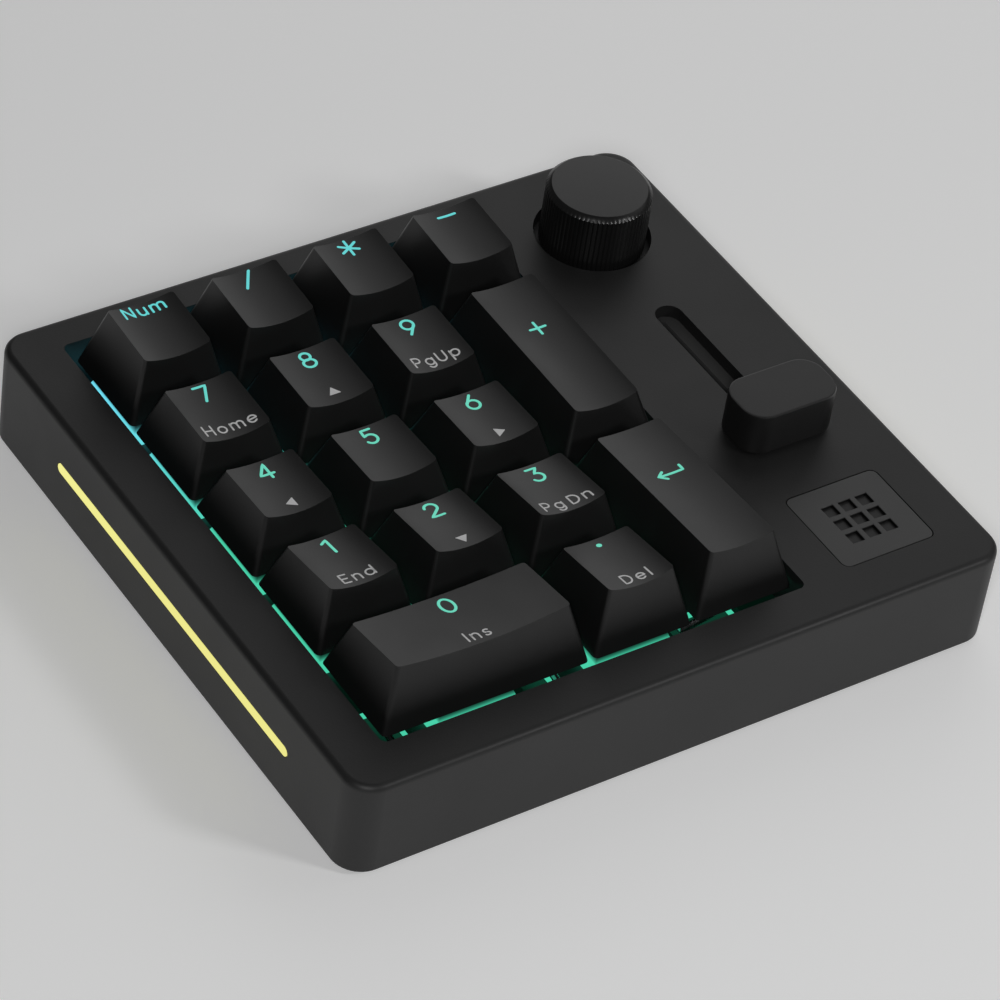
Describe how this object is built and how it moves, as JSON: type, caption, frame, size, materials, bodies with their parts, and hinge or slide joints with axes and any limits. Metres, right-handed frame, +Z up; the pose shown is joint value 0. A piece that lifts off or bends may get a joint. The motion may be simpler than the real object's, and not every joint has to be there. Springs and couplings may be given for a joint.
{
  "type": "numeric keypad",
  "caption": "Low black numeric keypad with sculpted keycaps in a sunk well, a turn-and-press knob, a slide control, a flush badge plate and side light bars.",
  "frame": {"origin": "centre of the footprint, on the surface that the feet stand on", "axes": "+X to the right along the key rows, the longest side; +Y to the back; +Z up, the shortest side"},
  "size_m": [0.1212, 0.1124, 0.0291],
  "materials": {
    "case": "fine moulded texture, satin black",
    "case_cover": "moulded, matte black",
    "screw_steel": "black zinc plated steel",
    "foot_rubber": "matte",
    "board": "solder mask over glass laminate",
    "socket_steel": "nickel plated, drawn shell",
    "plate": "black powder coat",
    "switch_housing": "smoke-grey moulded plastic",
    "keycap": "moulded, fine satin texture",
    "stem": "moulded acetal",
    "wire_steel": "bent bright spring wire",
    "control_metal": "stamped and tinned",
    "rotor_plastic": "moulded",
    "shaft_steel": "turned",
    "knob": "satin black with a polished chamfer",
    "slider_cap": "moulded, satin",
    "badge": "dark grey, fine satin",
    "light_bar": "lit milky diffuser"
  },
  "bodies": {
    "root": {"case_top": "case", "case_bottom": "case_cover", "case_screw_front_left": "screw_steel", "case_screw_front_right": "screw_steel", "case_screw_back_left": "screw_steel", "case_screw_back_right": "screw_steel", "foot_strip_front": "foot_rubber", "foot_strip_back": "foot_rubber", "circuit_board": "board", "usb_socket": "socket_steel", "switch_plate": "plate", "switch_housings": "switch_housing", "encoder_body": "control_metal", "fader_body": "control_metal", "badge_plate": "badge", "light_bar_left": "light_bar", "light_bar_right": "light_bar"},
    "key_num_lock": {"keycap_num_lock": "keycap", "stem_num_lock": "stem"},
    "key_divide": {"keycap_divide": "keycap", "stem_divide": "stem"},
    "key_multiply": {"keycap_multiply": "keycap", "stem_multiply": "stem"},
    "key_minus": {"keycap_minus": "keycap", "stem_minus": "stem"},
    "key_7": {"keycap_7": "keycap", "stem_7": "stem"},
    "key_8": {"keycap_8": "keycap", "stem_8": "stem"},
    "key_9": {"keycap_9": "keycap", "stem_9": "stem"},
    "key_plus": {"keycap_plus": "keycap", "stem_plus": "stem"},
    "key_4": {"keycap_4": "keycap", "stem_4": "stem"},
    "key_5": {"keycap_5": "keycap", "stem_5": "stem"},
    "key_6": {"keycap_6": "keycap", "stem_6": "stem"},
    "key_1": {"keycap_1": "keycap", "stem_1": "stem"},
    "key_2": {"keycap_2": "keycap", "stem_2": "stem"},
    "key_3": {"keycap_3": "keycap", "stem_3": "stem"},
    "key_enter": {"keycap_enter": "keycap", "stem_enter": "stem"},
    "key_0": {"keycap_0": "keycap", "stem_0": "stem"},
    "key_decimal": {"keycap_decimal": "keycap", "stem_decimal": "stem"},
    "wire_plus": {"stabiliser_plus": "wire_steel"},
    "wire_enter": {"stabiliser_enter": "wire_steel"},
    "wire_0": {"stabiliser_0": "wire_steel"},
    "knob_rotor": {"encoder_rotor": "rotor_plastic"},
    "knob_pusher": {"knob": "knob", "encoder_shaft": "shaft_steel"},
    "slider": {"slider_cap": "slider_cap", "fader_lever": "shaft_steel"}
  },
  "joints": [
    {"name": "num_lock_press", "type": "slide", "parent": "root", "child": "key_num_lock", "axis": [0, 0, -1], "range_m": [0, 0.004], "stiffness_N_per_m": 50, "springref_m": -0.008},
    {"name": "divide_press", "type": "slide", "parent": "root", "child": "key_divide", "axis": [0, 0, -1], "range_m": [0, 0.004], "stiffness_N_per_m": 50, "springref_m": -0.008},
    {"name": "multiply_press", "type": "slide", "parent": "root", "child": "key_multiply", "axis": [0, 0, -1], "range_m": [0, 0.004], "stiffness_N_per_m": 50, "springref_m": -0.008},
    {"name": "minus_press", "type": "slide", "parent": "root", "child": "key_minus", "axis": [0, 0, -1], "range_m": [0, 0.004], "stiffness_N_per_m": 50, "springref_m": -0.008},
    {"name": "7_press", "type": "slide", "parent": "root", "child": "key_7", "axis": [0, 0, -1], "range_m": [0, 0.004], "stiffness_N_per_m": 50, "springref_m": -0.008},
    {"name": "8_press", "type": "slide", "parent": "root", "child": "key_8", "axis": [0, 0, -1], "range_m": [0, 0.004], "stiffness_N_per_m": 50, "springref_m": -0.008},
    {"name": "9_press", "type": "slide", "parent": "root", "child": "key_9", "axis": [0, 0, -1], "range_m": [0, 0.004], "stiffness_N_per_m": 50, "springref_m": -0.008},
    {"name": "plus_press", "type": "slide", "parent": "root", "child": "key_plus", "axis": [0, 0, -1], "range_m": [0, 0.004], "stiffness_N_per_m": 50, "springref_m": -0.008},
    {"name": "4_press", "type": "slide", "parent": "root", "child": "key_4", "axis": [0, 0, -1], "range_m": [0, 0.004], "stiffness_N_per_m": 50, "springref_m": -0.008},
    {"name": "5_press", "type": "slide", "parent": "root", "child": "key_5", "axis": [0, 0, -1], "range_m": [0, 0.004], "stiffness_N_per_m": 50, "springref_m": -0.008},
    {"name": "6_press", "type": "slide", "parent": "root", "child": "key_6", "axis": [0, 0, -1], "range_m": [0, 0.004], "stiffness_N_per_m": 50, "springref_m": -0.008},
    {"name": "1_press", "type": "slide", "parent": "root", "child": "key_1", "axis": [0, 0, -1], "range_m": [0, 0.004], "stiffness_N_per_m": 50, "springref_m": -0.008},
    {"name": "2_press", "type": "slide", "parent": "root", "child": "key_2", "axis": [0, 0, -1], "range_m": [0, 0.004], "stiffness_N_per_m": 50, "springref_m": -0.008},
    {"name": "3_press", "type": "slide", "parent": "root", "child": "key_3", "axis": [0, 0, -1], "range_m": [0, 0.004], "stiffness_N_per_m": 50, "springref_m": -0.008},
    {"name": "enter_press", "type": "slide", "parent": "root", "child": "key_enter", "axis": [0, 0, -1], "range_m": [0, 0.004], "stiffness_N_per_m": 50, "springref_m": -0.008},
    {"name": "0_press", "type": "slide", "parent": "root", "child": "key_0", "axis": [0, 0, -1], "range_m": [0, 0.004], "stiffness_N_per_m": 50, "springref_m": -0.008},
    {"name": "decimal_press", "type": "slide", "parent": "root", "child": "key_decimal", "axis": [0, 0, -1], "range_m": [0, 0.004], "stiffness_N_per_m": 50, "springref_m": -0.008},
    {"name": "plus_wire_turn", "type": "hinge", "parent": "root", "child": "wire_plus", "pos_m": [0.00783, 0.01087, 0.0116], "axis": [0, 1, 0], "range_deg": [0, 26.3]},
    {"name": "enter_wire_turn", "type": "hinge", "parent": "root", "child": "wire_enter", "pos_m": [0.00783, -0.02722, 0.0116], "axis": [0, 1, 0], "range_deg": [0, 26.3]},
    {"name": "0_wire_turn", "type": "hinge", "parent": "root", "child": "wire_0", "pos_m": [-0.0311, -0.04544, 0.0116], "axis": [-1, 0, 0], "range_deg": [0, 26.3]},
    {"name": "knob_turn", "type": "hinge", "parent": "root", "child": "knob_rotor", "pos_m": [0.0431, 0.03815, 0.019], "axis": [0, 0, 1], "continuous": true},
    {"name": "knob_press", "type": "slide", "parent": "knob_rotor", "child": "knob_pusher", "axis": [0, 0, -1], "range_m": [0, 0.0005], "stiffness_N_per_m": 800, "springref_m": -0.002},
    {"name": "slider_slide", "type": "slide", "parent": "root", "child": "slider", "axis": [0, 1, 0], "range_m": [0, 0.03]}
  ],
  "couplings": [
    {"joint": "plus_wire_turn", "follows": "plus_press", "rad_per_m": 114.6},
    {"joint": "enter_wire_turn", "follows": "enter_press", "rad_per_m": 114.6},
    {"joint": "0_wire_turn", "follows": "0_press", "rad_per_m": 114.6}
  ]
}
